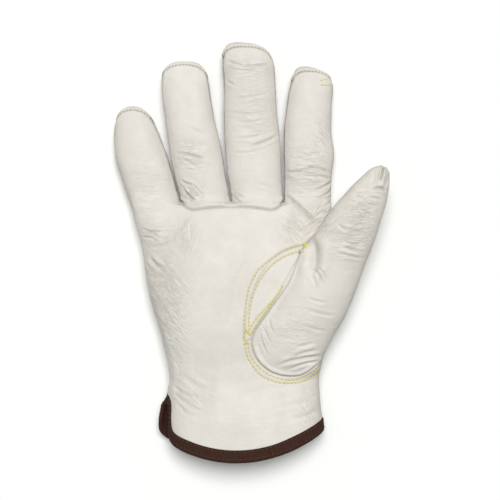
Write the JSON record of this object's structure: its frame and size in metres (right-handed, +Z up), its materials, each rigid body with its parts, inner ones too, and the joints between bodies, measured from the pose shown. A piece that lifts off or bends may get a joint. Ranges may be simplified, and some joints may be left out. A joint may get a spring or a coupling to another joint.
{
  "type": "lined leather glove",
  "caption": "Cream leather driver's work glove for the right hand with a keystone thumb, fourchettes, elastic wrist and bound, vented cuff, lying palm up.",
  "frame": {"origin": "middle of the glove's box, on the surface that the back of the glove rests on", "axes": "+X towards the thumb's side, +Y towards the fingertips, +Z up, out of the palm"},
  "size_m": [0.165, 0.254, 0.0396],
  "materials": {
    "grain_leather": "soft matt grain, cream white",
    "thread": "pale yellow cotton thread",
    "binding_tape": "ribbed woven tape, dark brown"
  },
  "bodies": {
    "root": {"palm_panel": "grain_leather", "back_panel": "grain_leather", "middle_ring_front": "grain_leather", "fourchette_little_ring": "grain_leather", "fourchette_ring_middle": "grain_leather", "fourchette_middle_index": "grain_leather", "thumb": "grain_leather", "thumb_gusset": "grain_leather", "cuff_binding": "binding_tape"}
  },
  "joints": []
}
